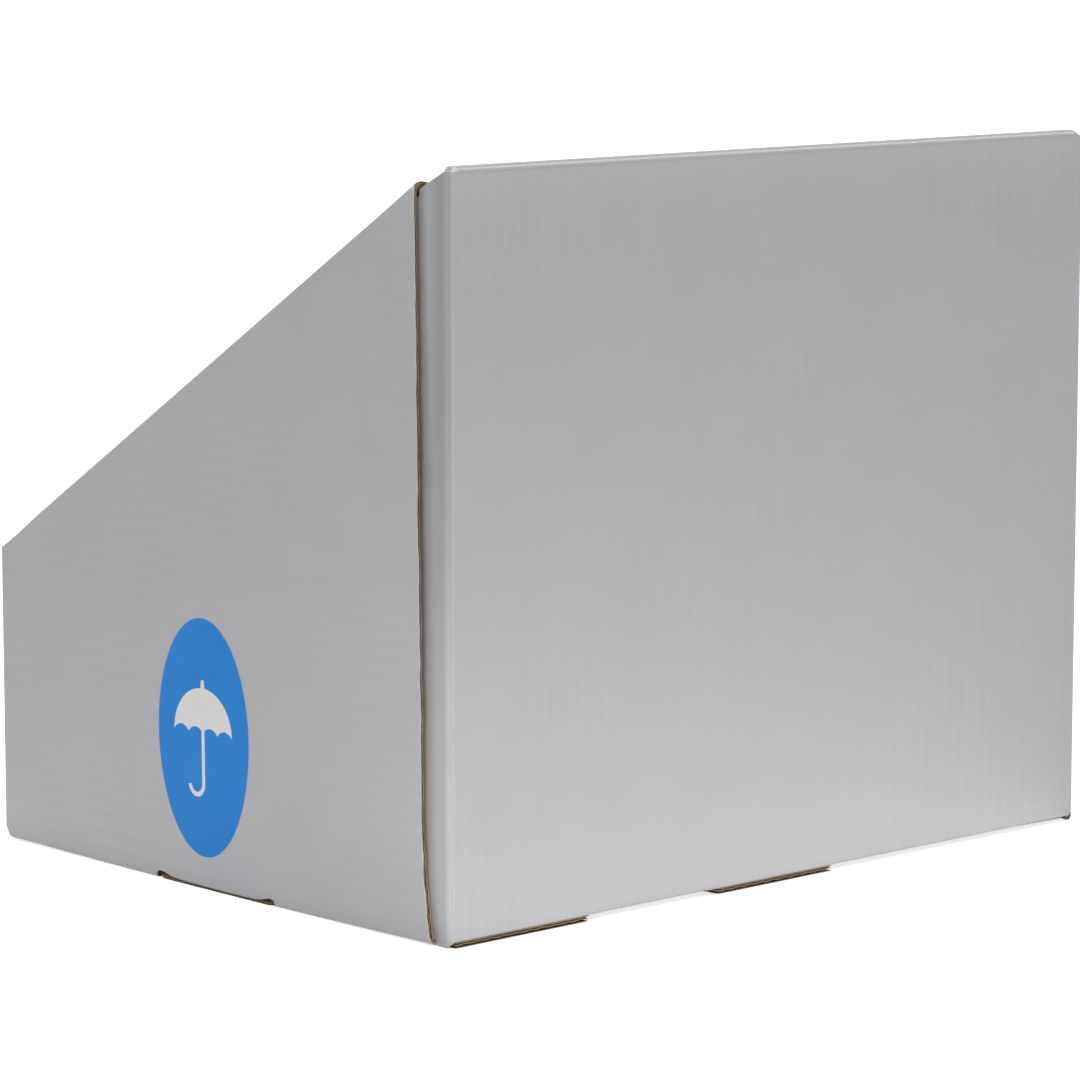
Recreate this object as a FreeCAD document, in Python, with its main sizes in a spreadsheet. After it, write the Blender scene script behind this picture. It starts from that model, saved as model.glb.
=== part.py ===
"""Counter bin for pocket umbrellas, folded from one sheet of corrugated board.

The bin stands on z = 0 with its low front at -Y and its high back at +Y.
Every wall is two boards thick: the outer panel rolls over its top edge and
comes down again as the inner panel, whose lock tabs stand on lips of the base.
The back and front walls carry corner flaps that slide in between the outer and
inner panels of the side walls.
"""
import FreeCAD, Part
import os
import re

import Sketcher

# Driving dimensions in millimetres
SIZES = {
    # the whole bin
    "overall_width": 355.0,
    "overall_depth": 276.0,
    "overall_height": 290.0,
    "front_height": 124.0,
    # the sheet of board and the room between two boards
    "board": 2.3,
    "fit_gap": 0.25,
    # slanted top edge of the side walls, from the front and back planes
    "slant_front": 4.8,
    "slant_back": 5.4,
    # base and its lips
    "base_lift": 2.2,
    "lip_length": 70.0,
    "lip_ramp": 8.0,
    "middle_lip_offset": 7.0,
    "side_lip_length": 77.0,
    "side_lip_offset": 4.5,
    # open mouth at the front end of the slot in each side wall
    "mouth_length": 6.0,
    "mouth_height": 2.2,
    # rear edge of the side walls, measured from the back plane
    "rear_setback_top": 16.3,
    "rear_setback_low": 14.0,
    "rear_setback_foot": 8.4,
    "rear_bend_height": 42.0,
    "rear_bend_radius": 300.0,
    # cut corner at the front foot of the side walls
    "front_cut_length": 4.5,
    "front_cut_height": 4.5,
    # corner flaps
    "flap_length": 62.0,
    "flap_drop": 2.4,
    "flap_foot_length": 14.0,
    "flap_corner_radius": 6.0,
    # roundings of the creases and cut corners
    "crease_radius": 1.6,
    "score_radius": 2.2,
    "ear_radius": 3.0,
    "tab_radius": 1.5,
    # length by which cutters pass the faces that they cut
    "overrun": 5.0,
}

# Formulas that several pieces share, written in the names above
WRAP = "(3 * board + 2 * fit_gap)"
FOLD_RADIUS = f"({WRAP} / 2)"
CREASE_GAP = "(board + fit_gap)"
HALF_WIDTH = "(overall_width / 2)"
HALF_DEPTH = "(overall_depth / 2)"
FLAP_FACE = f"({HALF_WIDTH} - {CREASE_GAP})"
CLEAR_WIDTH = f"({HALF_WIDTH} - {WRAP} - fit_gap)"
BASE_TOP = "(base_lift + board)"
INNER_FOOT = f"({BASE_TOP} + fit_gap)"
LIP_CUT = "(board + fit_gap)"
PANEL_FRONT = f"({CREASE_GAP} - {HALF_DEPTH})"
PANEL_BACK = f"({HALF_DEPTH} - {CREASE_GAP})"
SLOPE = "((overall_height - front_height) / (overall_depth - slant_front - slant_back))"
SLANT_DROP = f"({FOLD_RADIUS} * sqrt(1 + {SLOPE} ^ 2))"

# Two places nearer to each other than this share of the board count as one
SAME_PLACE_SHARE = 0.001

# The two lips under the back wall, and the two under the front wall: where the flat of
# each lip starts and ends, and where its nose under the outer panel ends
CORNER_LIP = (
    f"({FLAP_FACE} - lip_length)",
    f"({CLEAR_WIDTH} - lip_ramp)",
    FLAP_FACE,
)
MIDDLE_LIP = (
    "(middle_lip_offset - lip_length / 2)",
    "(middle_lip_offset + lip_length / 2)",
    "(middle_lip_offset + lip_length / 2)",
)
# The flat of the lip under each side wall
SIDE_LIP = (
    "(side_lip_offset - side_lip_length / 2)",
    "(side_lip_offset + side_lip_length / 2)",
)

doc = FreeCAD.newDocument("umbrella_bin")
sheet = doc.addObject("Spreadsheet::Sheet", "Sizes")
for row, (alias, value) in enumerate(SIZES.items(), start=1):
    sheet.set(f"A{row}", alias)
    sheet.set(f"B{row}", str(value))
    sheet.setAlias(f"B{row}", alias)
doc.recompute()

nodes = []
LOW, HIGH = 0, 1


def cells(formula):
    """Turn the size names in a formula into cells of the sheet."""
    return re.sub(
        r"[a-z_]+",
        lambda word: "Sizes." + word[0] if word[0] in SIZES else word[0],
        formula,
    )


def bind(item, path, formula):
    item.setExpression(path, cells(formula))


def slant_top(place):
    """Height of the slanted outer top edge at a distance along Y."""
    return f"(front_height + {SLOPE} * ({place} + {HALF_DEPTH} - slant_front))"


def slant_seat(place):
    """Height at which the rolled top sits on the slanted panels."""
    return f"({slant_top(place)} - {SLANT_DROP})"


def new_body(label):
    body = doc.addObject("PartDesign::Body", label)
    body.Label = label
    nodes.append(body)
    return body


def origin_plane(body, role):
    for feature in body.Origin.OriginFeatures:
        if feature.Role == role:
            return feature
    raise RuntimeError("no plane " + role)


def draw(body, name, role, outlines, lift="0"):
    """Sketch closed outlines on an origin plane, each corner bound to the sheet."""
    sketch = body.newObject("Sketcher::SketchObject", name)
    sketch.AttachmentSupport = (origin_plane(body, role), [""])
    sketch.MapMode = "FlatFace"
    bind(sketch, "AttachmentOffset.Base.z", lift)
    for corners in outlines:
        first = sketch.GeometryCount
        count = len(corners)
        rough = [FreeCAD.Vector(index, index * index, 0) for index in range(count)]
        for index in range(count):
            sketch.addGeometry(Part.LineSegment(rough[index], rough[(index + 1) % count]))
        for index in range(count):
            follower = first + (index + 1) % count
            sketch.addConstraint(
                Sketcher.Constraint("Coincident", first + index, 2, follower, 1)
            )
        for index, (across, up) in enumerate(corners):
            for kind, formula in (("DistanceX", across), ("DistanceY", up)):
                place = sketch.addConstraint(
                    Sketcher.Constraint(kind, -1, 1, first + index, 1, float(index + 1))
                )
                bind(sketch, f"Constraints[{place}]", formula)
    return sketch


def pad(body, sketch, length, backwards=False):
    feature = body.newObject("PartDesign::Pad", sketch.Name + "_pad")
    feature.Profile = sketch
    feature.Reversed = backwards
    bind(feature, "Length", length)
    body.Tip = feature
    doc.recompute()
    return feature


def pocket(body, sketch, length, backwards=False):
    before = body.Shape.Volume
    feature = body.newObject("PartDesign::Pocket", sketch.Name + "_cut")
    feature.Profile = sketch
    feature.Reversed = backwards
    bind(feature, "Length", length)
    body.Tip = feature
    doc.recompute()
    if body.Shape.Volume >= before:
        raise RuntimeError(feature.Name + " removes nothing")
    return feature


def edges_at(shape, along, sides):
    """Names of the straight edges along one axis that lie on the given extremes of the box."""
    near = sheet.board * SAME_PLACE_SHARE
    box = shape.BoundBox
    extremes = {
        "x": (box.XMin, box.XMax),
        "y": (box.YMin, box.YMax),
        "z": (box.ZMin, box.ZMax),
    }
    found = []
    for number, edge in enumerate(shape.Edges, start=1):
        run = edge.Vertexes[-1].Point - edge.Vertexes[0].Point
        if run.Length < near or run.Length - abs(getattr(run, along)) > near:
            continue
        middle = edge.CenterOfMass
        if all(
            abs(getattr(middle, axis) - extremes[axis][end]) < near for axis, end in sides.items()
        ):
            found.append(f"Edge{number}")
    return found


def round_edges(body, name, radius, edges):
    """Round the named edges of the body as it stands."""
    if not edges:
        raise RuntimeError(body.Label + " has no edges for " + name)
    base = body.Tip
    feature = body.newObject("PartDesign::Fillet", body.Name + "_" + name)
    feature.Base = (base, edges)
    bind(feature, "Radius", radius)
    body.Tip = feature
    doc.recompute()


def soften(body, name, radius, along, *choices):
    """Round the straight edges along one axis that lie on the chosen sides."""
    edges = []
    for sides in choices:
        edges += edges_at(body.Tip.Shape, along, sides)
    round_edges(body, name, radius, edges)


def rectangle(left, right, low, high):
    return [(left, low), (right, low), (right, high), (left, high)]


def make_base():
    """Plate under the bin, with bent-down lips that the lock tabs stand on."""
    body = new_body("base_panel")
    edge_x = f"({HALF_WIDTH} - board)"
    plate = draw(
        body,
        "plate",
        "XY_Plane",
        [rectangle(f"-{edge_x}", edge_x, PANEL_FRONT, PANEL_BACK)],
        "base_lift",
    )
    pad(body, plate, "board")

    cut = f"({HALF_DEPTH} - {WRAP} - fit_gap)"
    past = f"({PANEL_BACK} + overrun)"
    side_cut = f"({HALF_WIDTH} - {WRAP} - fit_gap)"
    side_past = f"({edge_x} + overrun)"
    foot = f"({HALF_DEPTH} - flap_foot_length - fit_gap)"
    foot_x = f"({FLAP_FACE} - board - fit_gap)"
    notches = []
    for side in ("", "-"):
        for left, right, _ in (CORNER_LIP, MIDDLE_LIP):
            notches.append(
                rectangle(
                    f"({left} - lip_ramp)", f"({right} + lip_ramp)", f"{side}{cut}", f"{side}{past}"
                )
            )
        for end in ("", "-"):
            notches.append(
                rectangle(f"{end}{foot_x}", f"{end}{side_past}", f"{side}{foot}", f"{side}{past}")
            )
        notches.append(
            rectangle(
                f"{side}{side_cut}",
                f"{side}{side_past}",
                f"({SIDE_LIP[0]} - lip_ramp)",
                f"({SIDE_LIP[1]} + lip_ramp)",
            )
        )
    pocket(body, draw(body, "notches", "XY_Plane", notches, "base_lift"), "board", True)

    # straps that dip from the plate to the floor and rise again, and their noses under the wall
    def strap(left, right):
        return [
            (f"({left} - lip_ramp)", "base_lift"),
            (left, "0"),
            (right, "0"),
            (f"({right} + lip_ramp)", "base_lift"),
            (f"({right} + lip_ramp)", BASE_TOP),
            (right, "board"),
            (left, "board"),
            (f"({left} - lip_ramp)", BASE_TOP),
        ]

    for place, side in (("back", 1), ("front", -1)):
        lips = [strap(left, right) for left, right, _ in (CORNER_LIP, MIDDLE_LIP)]
        noses = [
            rectangle(left, nose_end, "0", "board") for left, _, nose_end in (CORNER_LIP, MIDDLE_LIP)
        ]
        lift = f"{-side} * {HALF_DEPTH} + {side} * {WRAP}"
        bars = draw(body, place + "_straps", "XZ_Plane", lips, lift)
        pad(body, bars, f"{WRAP} - {CREASE_GAP}", side > 0)
        tips = draw(body, place + "_noses", "XZ_Plane", noses, f"{-side} * {HALF_DEPTH}")
        pad(body, tips, CREASE_GAP, side < 0)
    for place, side in (("right", 1), ("left", -1)):
        lift = f"{side} * ({HALF_WIDTH} - {WRAP})"
        bar = draw(body, place + "_strap", "YZ_Plane", [strap(*SIDE_LIP)], lift)
        pad(body, bar, f"{WRAP} - board", side < 0)
        nose = draw(
            body,
            place + "_nose",
            "YZ_Plane",
            [rectangle(*SIDE_LIP, "0", "board")],
            f"{side} * {HALF_WIDTH}",
        )
        pad(body, nose, "board", side > 0)
    return body


def make_cross_walls():
    """Back and front walls: outer panel, rolled top, inner panel and two corner flaps each."""
    for place, side, top in (("back", 1, "overall_height"), ("front", -1, "front_height")):
        outside = LOW if side < 0 else HIGH
        seat = f"({top} - {FOLD_RADIUS})"

        outer = new_body(place + "_outer_wall")
        outline = [
            (f"-{FLAP_FACE}", "base_lift"),
            (FLAP_FACE, "base_lift"),
            (FLAP_FACE, top),
            (CLEAR_WIDTH, top),
            (CLEAR_WIDTH, seat),
            (f"-{CLEAR_WIDTH}", seat),
            (f"-{CLEAR_WIDTH}", top),
            (f"-{FLAP_FACE}", top),
        ]
        bind(outer, "Placement.Base.y", f"{side} * {HALF_DEPTH}")
        pad(outer, draw(outer, place + "_outline", "XZ_Plane", [outline]), "board", side < 0)
        soften(outer, "ears", "ear_radius", "y", {"x": LOW, "z": HIGH}, {"x": HIGH, "z": HIGH})
        soften(
            outer,
            "creases",
            "crease_radius",
            "z",
            {"x": LOW, "y": outside},
            {"x": HIGH, "y": outside},
        )
        soften(outer, "foot", "crease_radius", "x", {"y": outside, "z": LOW})
        openings = [
            rectangle(f"({MIDDLE_LIP[0]} - fit_gap)", f"({MIDDLE_LIP[2]} + fit_gap)", "0", LIP_CUT),
            rectangle(f"({CORNER_LIP[0]} - fit_gap)", f"({CORNER_LIP[2]} + overrun)", "0", LIP_CUT),
        ]
        pocket(outer, draw(outer, place + "_lip_cuts", "XZ_Plane", openings), "board", side > 0)

        make_straight_fold(place, side, seat, top)

        inner = new_body(place + "_inner_wall")
        outline = [(f"-{CLEAR_WIDTH}", INNER_FOOT)]
        for left, right, _ in (MIDDLE_LIP, CORNER_LIP):
            outline += [
                (f"({left} + fit_gap)", INNER_FOOT),
                (f"({left} + fit_gap)", LIP_CUT),
                (f"({right} - fit_gap)", LIP_CUT),
                (f"({right} - fit_gap)", INNER_FOOT),
            ]
        outline += [(CLEAR_WIDTH, INNER_FOOT), (CLEAR_WIDTH, seat), (f"-{CLEAR_WIDTH}", seat)]
        bind(inner, "Placement.Base.y", f"{side} * ({HALF_DEPTH} - {WRAP})")
        pad(inner, draw(inner, place + "_lining", "XZ_Plane", [outline]), "board", side > 0)
        soften(inner, "tabs", "tab_radius", "y", {"z": LOW})

        for hand, end in (("right", 1), ("left", -1)):
            make_flap(place, side, hand, end)


def make_straight_fold(place, side, seat, top):
    """Top of a straight wall: the board is scored twice and runs level between the scores."""
    fold = new_body(place + "_top_fold")
    reach = f"({CLEAR_WIDTH} - fit_gap)"
    outside = f"{side} * {HALF_DEPTH}"
    inside = f"{side} * ({HALF_DEPTH} - {WRAP})"
    outline = [
        (outside, seat),
        (outside, top),
        (inside, top),
        (inside, seat),
        (f"({inside} + {side} * board)", seat),
        (f"({inside} + {side} * board)", f"({top} - board)"),
        (f"({outside} - {side} * board)", f"({top} - board)"),
        (f"({outside} - {side} * board)", seat),
    ]
    pad(fold, draw(fold, place + "_channel", "YZ_Plane", [outline], f"-{reach}"), f"2 * {reach}")
    soften(fold, "scores", "score_radius", "x", {"y": LOW, "z": HIGH}, {"y": HIGH, "z": HIGH})


def make_flap(place, side, hand, end):
    """Corner flap that slides in between the two panels of a side wall."""
    flap = new_body(f"{place}_corner_flap_{hand}")
    start = f"({HALF_DEPTH} - board)"
    foot = f"({HALF_DEPTH} - flap_foot_length)"
    free = f"({HALF_DEPTH} - flap_length)"
    outline = [(free, INNER_FOOT), (foot, INNER_FOOT), (foot, LIP_CUT), (start, LIP_CUT)]
    if side > 0:
        edge = f"({HALF_DEPTH} - rear_setback_top + fit_gap)"
        outline += [
            (start, f"({slant_top(start)} - flap_drop)"),
            (edge, f"({slant_top(edge)} - flap_drop)"),
            (edge, slant_seat(edge)),
            (free, slant_seat(free)),
        ]
    else:
        reach = f"({slant_seat(PANEL_FRONT)} - base_lift - 2 * fit_gap)"
        outline = [(f"-{across}", up) for across, up in outline]
        outline += [
            (f"-{start}", f"(base_lift + sqrt({reach} ^ 2 - board ^ 2))"),
            (f"-{free}", f"(base_lift + sqrt({reach} ^ 2 - flap_length ^ 2))"),
        ]
    bind(flap, "Placement.Base.x", f"{end} * {FLAP_FACE}")
    pad(flap, draw(flap, f"{place}_flap_{hand}", "YZ_Plane", [outline]), "board", end > 0)
    soften(flap, "corners", "flap_corner_radius", "x", {"y": LOW if side > 0 else HIGH})


def make_side_walls():
    """Side walls: outer panel with slanted top, rolled top and inner panel."""
    back_top = f"({HALF_DEPTH} - rear_setback_top)"
    back_low = f"({HALF_DEPTH} - rear_setback_low)"
    back_foot = f"({HALF_DEPTH} - rear_setback_foot)"
    for hand, end in (("right", 1), ("left", -1)):
        outside = HIGH if end > 0 else LOW
        outer = new_body("side_outer_wall_" + hand)
        outline = [
            (f"({PANEL_FRONT} + front_cut_length)", "base_lift"),
            (back_foot, "base_lift"),
            (back_low, "rear_bend_height"),
            (back_top, slant_seat(back_top)),
            (PANEL_FRONT, slant_seat(PANEL_FRONT)),
            (PANEL_FRONT, "(base_lift + front_cut_height)"),
        ]
        bind(outer, "Placement.Base.x", f"{end} * {HALF_WIDTH}")
        pad(outer, draw(outer, "side_outline_" + hand, "YZ_Plane", [outline]), "board", end > 0)
        soften(outer, "foot", "crease_radius", "y", {"x": outside, "z": LOW})
        round_rear_bend(outer)
        mouth_end = f"({SIDE_LIP[0]} + mouth_length)"
        opening = [
            (f"({SIDE_LIP[0]} - fit_gap)", "0"),
            (f"({SIDE_LIP[1]} + fit_gap)", "0"),
            (f"({SIDE_LIP[1]} + fit_gap)", LIP_CUT),
            (f"({mouth_end} + mouth_length)", LIP_CUT),
            (mouth_end, "(base_lift + mouth_height)"),
            (f"({SIDE_LIP[0]} - fit_gap)", "(base_lift + mouth_height)"),
        ]
        pocket(outer, draw(outer, "slot_" + hand, "YZ_Plane", [opening]), "board", end < 0)

        make_slanted_fold(hand, end, back_top)

        inner = new_body("side_inner_wall_" + hand)
        tab_front = f"({SIDE_LIP[0]} + mouth_length)"
        tab_back = f"({SIDE_LIP[1]} - fit_gap)"
        outline = [
            (PANEL_FRONT, BASE_TOP),
            (tab_front, BASE_TOP),
            (tab_front, "board"),
            (tab_back, "board"),
            (tab_back, BASE_TOP),
            (PANEL_BACK, BASE_TOP),
            (PANEL_BACK, slant_seat(PANEL_BACK)),
            (PANEL_FRONT, slant_seat(PANEL_FRONT)),
        ]
        bind(inner, "Placement.Base.x", f"{end} * ({HALF_WIDTH} - {WRAP})")
        pad(inner, draw(inner, "side_lining_" + hand, "YZ_Plane", [outline]), "board", end < 0)
        soften(inner, "tab", "tab_radius", "x", {"z": LOW})


def round_rear_bend(outer):
    """Large rounding where the rear edge of a side wall turns out to its foot."""
    bend = sheet.rear_bend_height
    place = sheet.overall_depth / 2 - sheet.rear_setback_low
    names = []
    for number, edge in enumerate(outer.Tip.Shape.Edges, start=1):
        middle = edge.CenterOfMass
        off = FreeCAD.Vector(0, middle.y - place, middle.z - bend)
        if off.Length < sheet.fit_gap:
            names.append(f"Edge{number}")
    round_edges(outer, "bend", "rear_bend_radius", names)


def make_slanted_fold(hand, end, back_top):
    """Half tube along the slanted top of a side wall, cut off upright at both ends."""
    along_y = FreeCAD.Rotation(FreeCAD.Vector(0, 1, 1), 180)
    about_x = FreeCAD.Rotation(FreeCAD.Vector(1, 0, 0), 0)
    centre = f"({end} * ({HALF_WIDTH} - {FOLD_RADIUS}))"
    shells = []
    for name, radius in (("skin", FOLD_RADIUS), ("hollow", f"({FOLD_RADIUS} - board)")):
        half = doc.addObject("Part::Cylinder", f"side_fold_{name}_{hand}")
        half.Angle = 180
        half.Placement = FreeCAD.Placement(FreeCAD.Vector(), along_y)
        bind(half, "Radius", radius)
        bind(half, "Height", "(overall_depth + overall_height)")
        shells.append(half)
    tube = doc.addObject("Part::Cut", "side_tube_" + hand)
    tube.Base, tube.Tool = shells
    tube.Placement = FreeCAD.Placement(FreeCAD.Vector(), about_x)
    bind(tube, "Placement.Rotation.Angle", f"atan({SLOPE})")
    start = f"({PANEL_FRONT} - overrun)"
    bind(tube, "Placement.Base.x", centre)
    bind(tube, "Placement.Base.y", start)
    bind(tube, "Placement.Base.z", slant_seat(start))

    window = doc.addObject("Part::Box", "side_window_" + hand)
    bind(window, "Length", f"(2 * {WRAP})")
    bind(window, "Width", f"({back_top} - {PANEL_FRONT})")
    bind(window, "Height", "(overall_height + overrun)")
    bind(window, "Placement.Base.x", f"({centre} - {WRAP})")
    bind(window, "Placement.Base.y", PANEL_FRONT)

    fold = doc.addObject("Part::Common", "side_top_fold_" + hand)
    fold.Label = "side_top_fold_" + hand
    fold.Base = tube
    fold.Tool = window
    nodes.append(fold)


make_base()
make_cross_walls()
make_side_walls()
doc.recompute()

for item in doc.Objects:
    if "Invalid" in item.State or "Error" in item.State:
        raise RuntimeError(f"{item.Name} did not compute: {item.State}")
for node in nodes:
    if node.Shape.isNull() or not node.Shape.isValid():
        raise RuntimeError(node.Label + " has no valid shape")

os.makedirs("parts", exist_ok=True)
for node in nodes:
    node.Shape.exportStep(f"parts/{node.Label}.step")
    box = node.Shape.optimalBoundingBox()
    print(
        f"{node.Label:26s} solids {len(node.Shape.Solids)} volume {node.Shape.Volume:10.1f}",
        f"x {box.XMin:8.2f} {box.XMax:8.2f} y {box.YMin:8.2f} {box.YMax:8.2f}",
        f"z {box.ZMin:7.2f} {box.ZMax:7.2f}",
    )
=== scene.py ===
import math

import bmesh
import bpy
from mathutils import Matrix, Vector, noise
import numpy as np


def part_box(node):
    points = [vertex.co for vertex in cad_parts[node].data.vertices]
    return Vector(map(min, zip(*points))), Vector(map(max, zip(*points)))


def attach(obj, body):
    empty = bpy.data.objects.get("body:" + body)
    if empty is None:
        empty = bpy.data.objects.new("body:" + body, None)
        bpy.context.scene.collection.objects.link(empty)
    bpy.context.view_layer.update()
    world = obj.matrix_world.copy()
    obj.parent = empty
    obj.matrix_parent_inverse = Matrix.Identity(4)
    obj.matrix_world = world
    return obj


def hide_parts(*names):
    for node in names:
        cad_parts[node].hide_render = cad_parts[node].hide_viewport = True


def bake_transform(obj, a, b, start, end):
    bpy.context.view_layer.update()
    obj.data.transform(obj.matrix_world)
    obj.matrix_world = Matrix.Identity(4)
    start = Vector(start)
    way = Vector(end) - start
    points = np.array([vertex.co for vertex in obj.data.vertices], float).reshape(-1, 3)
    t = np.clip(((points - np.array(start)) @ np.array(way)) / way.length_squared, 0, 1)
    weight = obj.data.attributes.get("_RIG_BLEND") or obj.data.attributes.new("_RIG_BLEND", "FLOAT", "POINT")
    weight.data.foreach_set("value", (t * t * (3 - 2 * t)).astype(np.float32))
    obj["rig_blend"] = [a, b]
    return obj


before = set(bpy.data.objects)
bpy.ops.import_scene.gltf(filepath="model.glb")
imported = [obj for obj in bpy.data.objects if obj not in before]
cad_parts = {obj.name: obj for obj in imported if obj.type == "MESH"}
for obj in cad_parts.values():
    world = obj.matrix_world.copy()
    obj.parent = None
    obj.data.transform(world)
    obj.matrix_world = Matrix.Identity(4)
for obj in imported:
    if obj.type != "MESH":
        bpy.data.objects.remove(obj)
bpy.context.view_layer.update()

MM = 0.001
QUARTER = math.pi / 2
EIGHTH = math.pi / 4

# Places of the boards, from the frame
panel_low, panel_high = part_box("back_outer_wall")
fold_low, fold_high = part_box("back_top_fold")
HALF_DEPTH = panel_high.y
FLAP_FACE = panel_high.x
BOARD = panel_high.y - panel_low.y
LIFT = panel_low.z
BACK_TOP = panel_high.z
FRONT_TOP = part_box("front_outer_wall")[1].z
HALF_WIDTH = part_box("side_outer_wall_right")[1].x
WRAP = fold_high.y - fold_low.y
ROLL = WRAP / 2
GAP = HALF_WIDTH - BOARD - FLAP_FACE
LINING_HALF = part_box("back_inner_wall")[1].x
PANEL_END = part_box("side_inner_wall_right")[1].y
SIDE_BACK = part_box("side_top_fold_right")[1].y
LIP_TOP = BOARD + GAP
BASE_TOP = LIFT + BOARD

# The papers of the board
LINER = 0.28 * MM
FLUTE_PAPER = 0.2 * MM
PITCH = 6.5 * MM
FLUTE_STEP = PITCH / 8
FLUTE_RUN = 24 * MM
LINER_STEP = 8 * MM
LINER_RUN = 12 * MM
NEAR = 0.02 * MM

# Scores: two across a straight top, two close together at a corner, one along a foot.
# Each is its distance from the first, its radius and the angle it turns the board by.
TOP_SCORE = 2.2 * MM
SIDE_SCORE = 1.0 * MM
WALL_SCORE = 0.6 * MM
FLAP_SCORE = 2.4 * MM
FACET = 1.75 * MM
FOOT_SCORE = 1.6 * MM
FOOT_RUN = 2.0 * MM
TOE_TURN = math.radians(60)
WALL_TANGENT = WALL_SCORE * math.tan(EIGHTH / 2)
FLAP_TANGENT = FLAP_SCORE * math.tan(EIGHTH / 2)
FACET_RUN = FACET * math.sqrt(2) - WALL_TANGENT - FLAP_TANGENT
TOP_SCORES = (
    (0, TOP_SCORE, QUARTER),
    (TOP_SCORE * QUARTER + WRAP - 2 * TOP_SCORE, TOP_SCORE, QUARTER),
)
SIDE_SCORES = (
    (0, SIDE_SCORE, QUARTER),
    (SIDE_SCORE * QUARTER + WRAP - 2 * SIDE_SCORE, SIDE_SCORE, QUARTER),
)
SIDE_TRAVEL = SIDE_SCORES[1][0] + SIDE_SCORE * QUARTER
CORNER_SCORES = (
    (0, WALL_SCORE, EIGHTH),
    (WALL_SCORE * EIGHTH + FACET_RUN, FLAP_SCORE, EIGHTH),
)
FOOT_SCORES = ((0, FOOT_SCORE, QUARTER),)
TOE_SCORES = ((0, FOOT_SCORE, TOE_TURN),)
SLICE_TURN = math.radians(15)
WORN_REACH = 0.6 * MM
GROOVE = 0.34 * MM
GROOVE_DOWN = 0.05 * MM
GROOVE_DEPTH = 0.08 * MM
EAR_DROP = {1: 0.8 * MM, -1: 2.4 * MM}
FAR_ROUND = 7.5 * MM
FAR_DROOP = 4.2 * MM

# Slanted top of the side walls
SLANT_FRONT = 4.8 * MM
SLANT_BACK = 5.4 * MM
SLOPE = (BACK_TOP - FRONT_TOP) / (2 * HALF_DEPTH - SLANT_FRONT - SLANT_BACK)
SLANT = math.atan(SLOPE)
DIP = 0.7 * MM
ARCH = 0.9 * MM

# Lips of the base, along X under the back and front walls, along Y under the side walls
MIDDLE_LIP = (-28.0 * MM, 42.0 * MM)
CORNER_LIP = (105.0 * MM, 172.4 * MM)
SIDE_LIP = (-34.0 * MM, 43.0 * MM)
LIP_RAMP = 8.0 * MM
LIP_NOSE = 3.0 * MM

# Edge of the slot in a side wall as it is folded: place along Y and height, in millimetres
SLOT_EDGE = (
    (-35.2, 1.2), (-34.0, 3.0), (-32.0, 3.3), (-29.4, 2.9), (-25.6, 1.9), (-20.5, 1.55),
    (-8.0, 1.35), (4.6, 1.2), (17.0, 1.25), (26.0, 1.35), (30.5, 1.8), (33.5, 2.6),
    (35.4, 3.0), (37.9, 2.4), (38.4, 1.2),
)

# Corner flaps
FLAP_LENGTH = 62.0 * MM
FLAP_SHOWN = 13.8 * MM
FLAP_SLOPE = 0.54
FLAP_CORNER = 6.0 * MM
TOE_BEND = 1.5 * MM

# Cut edges that hands and knives have crushed
RIM = 2.6 * MM
FRAYED = 0.8 * MM
ROLL_RIM = 3.0 * MM
PINCH = 2.6 * MM
CRUMPLE = 0.3 * MM

# Printed mark on the right-hand side wall: middle along Y and in height, and half sizes
MARK_MIDDLE = Vector((-4.0, 61.5)) * MM
MARK_HALF = Vector((28.0, 46.5)) * MM
INK = 0.03 * MM
INK_LEVEL = 0.05 * MM


def slant_top(y):
    return FRONT_TOP + SLOPE * (y + HALF_DEPTH - SLANT_FRONT)


def slant_seat(y):
    return slant_top(y) - ROLL / math.cos(SLANT)


def ease(value):
    """Smooth step from 0 to 1."""
    value = min(1.0, max(0.0, value))
    return value * value * (3 - 2 * value)


def ramp(value, start, stop):
    return ease((value - start) / (stop - start))


def between(value, low, high, fade):
    """1 inside a stretch, falling smoothly to 0 over the fade on both sides."""
    return ramp(value, low - fade, low) * (1 - ramp(value, high, high + fade))


# Papers, cut flat: X runs across the flutes, Y along them and +Z is the printed side


def flat_grid(low, high, cell):
    bm = bmesh.new()
    size = high - low
    bmesh.ops.create_grid(
        bm,
        x_segments=max(1, round(size.x / cell.x)),
        y_segments=max(1, round(size.y / cell.y)),
        size=0.5,
    )
    bmesh.ops.scale(bm, vec=(size.x, size.y, 1), verts=bm.verts)
    bmesh.ops.translate(bm, vec=((low + high) / 2).to_3d(), verts=bm.verts)
    return bm


def bisect(bm, geometry, start, stop):
    """Slice some of the flat sheet along the line through two of its points."""
    run = stop - start
    bmesh.ops.bisect_plane(
        bm,
        geom=geometry,
        dist=NEAR / 100,
        plane_co=start.to_3d(),
        plane_no=(-run.y, run.x, 0),
    )


def slice_near(bm, start, stop, cell):
    """Slice only the cells that a short cut can reach."""
    low = Vector((min(start.x, stop.x), min(start.y, stop.y))) - cell
    high = Vector((max(start.x, stop.x), max(start.y, stop.y))) + cell
    geometry = set()
    for face in bm.faces:
        middle = face.calc_center_bounds()
        if low.x < middle.x < high.x and low.y < middle.y < high.y:
            geometry.add(face)
            geometry.update(face.edges)
            geometry.update(face.verts)
    bisect(bm, list(geometry), start, stop)


def inside(outline, place):
    """Even-odd test of a point against a closed outline."""
    found = False
    last = outline[-1]
    for corner in outline:
        if (corner.y > place.y) != (last.y > place.y):
            share = (place.y - corner.y) / (last.y - corner.y)
            if place.x < corner.x + share * (last.x - corner.x):
                found = not found
        last = corner
    return found


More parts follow.
